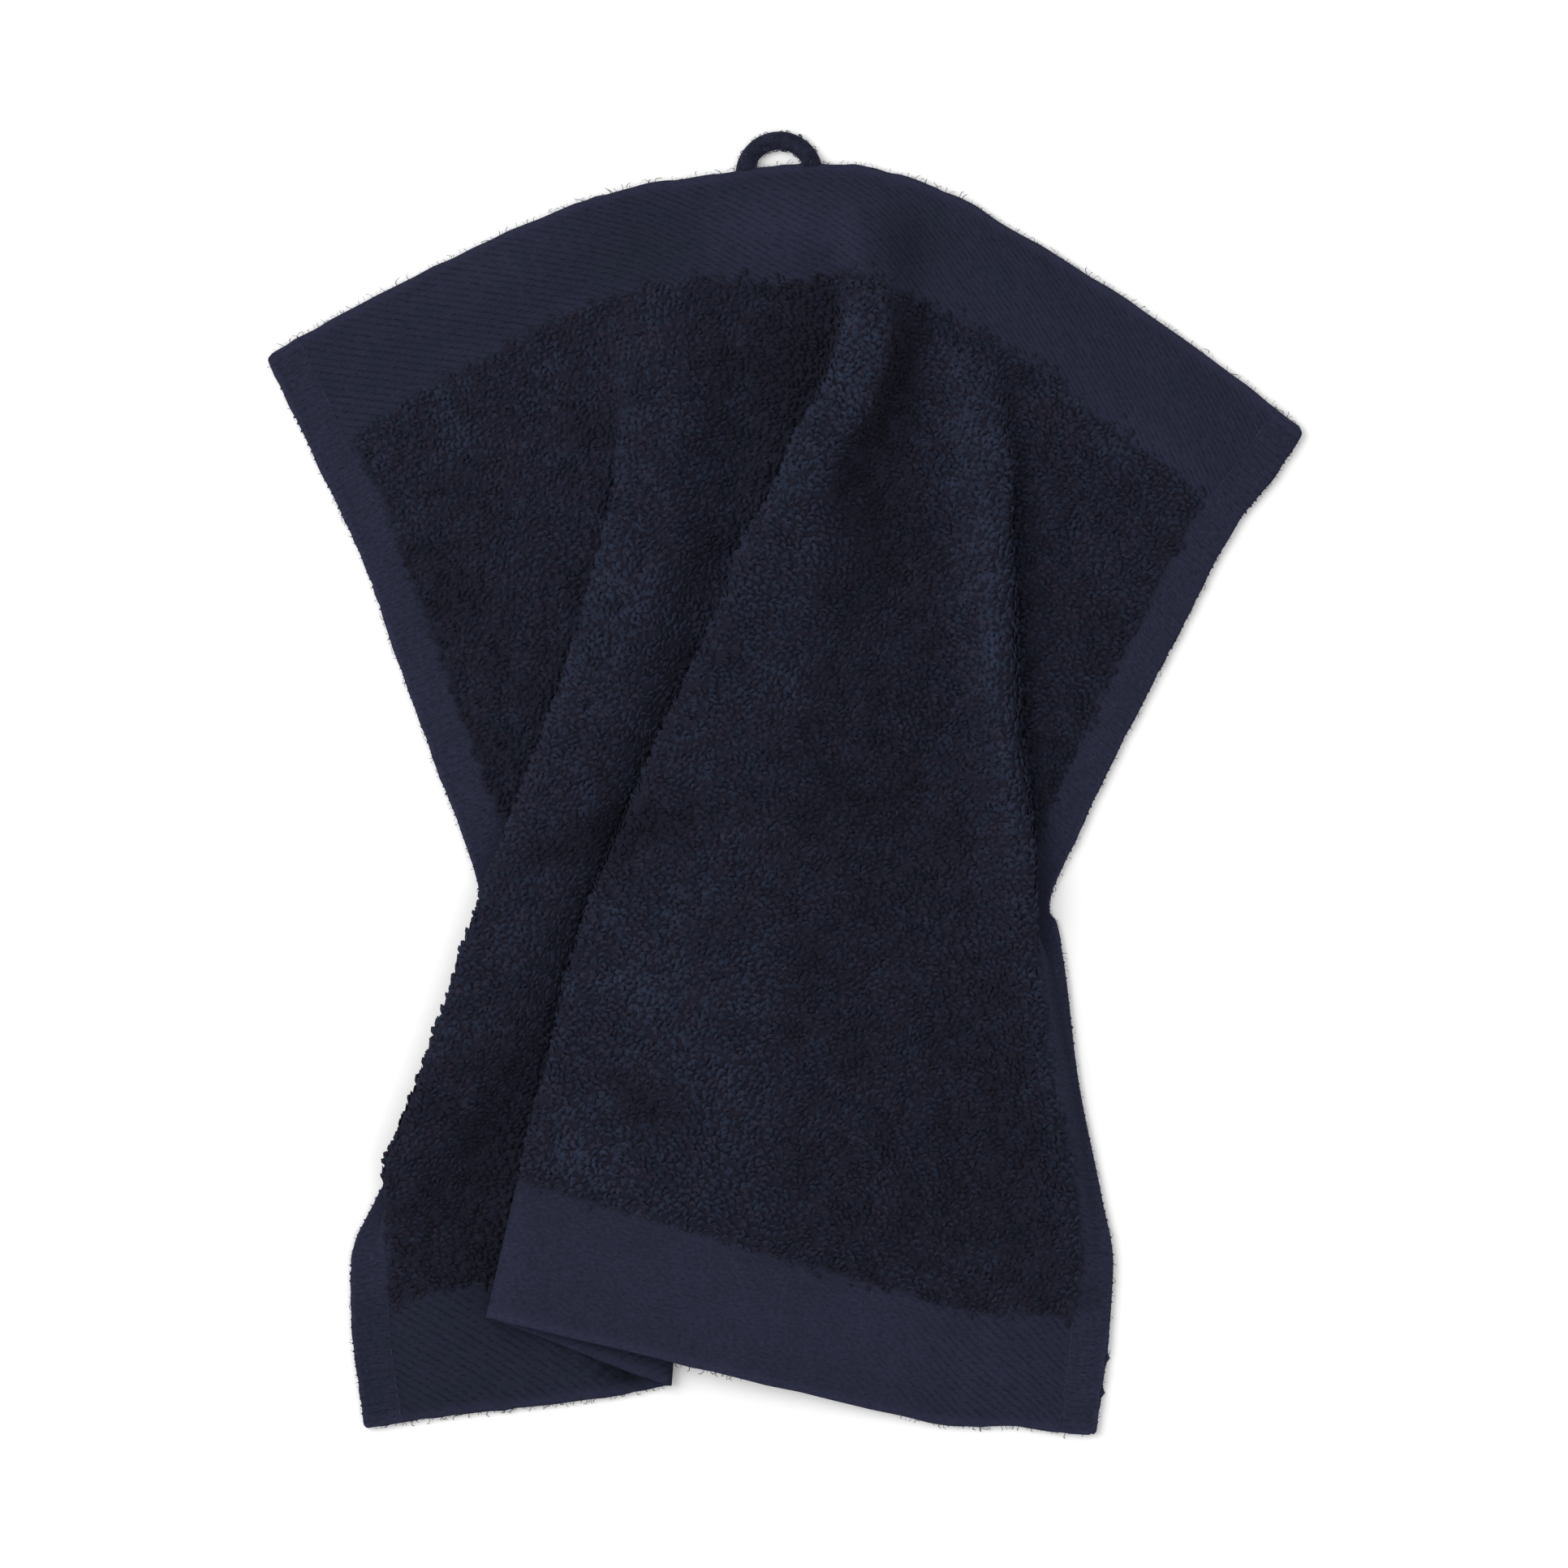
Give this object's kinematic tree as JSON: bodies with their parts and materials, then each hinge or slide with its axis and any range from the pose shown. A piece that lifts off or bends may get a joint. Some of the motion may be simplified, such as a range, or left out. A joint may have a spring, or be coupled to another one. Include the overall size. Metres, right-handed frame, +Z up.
{
  "type": "washcloth",
  "caption": "Square terry washcloth with flat twill end bands, narrow side hems and a cord hanging loop, lying face up in soft folds.",
  "frame": {"origin": "centre of the footprint, on the surface the cloth lies on", "axes": "+Y from the bottom band to the hanging loop, +X across the cloth to the right, +Z up from the surface"},
  "size_m": [0.2628, 0.3295, 0.013],
  "materials": {
    "navy_terry": "matt terry pile",
    "navy_cord": "matt cotton cord"
  },
  "bodies": {
    "root": {"washcloth": "navy_terry", "hanging_loop": "navy_cord"}
  },
  "joints": []
}
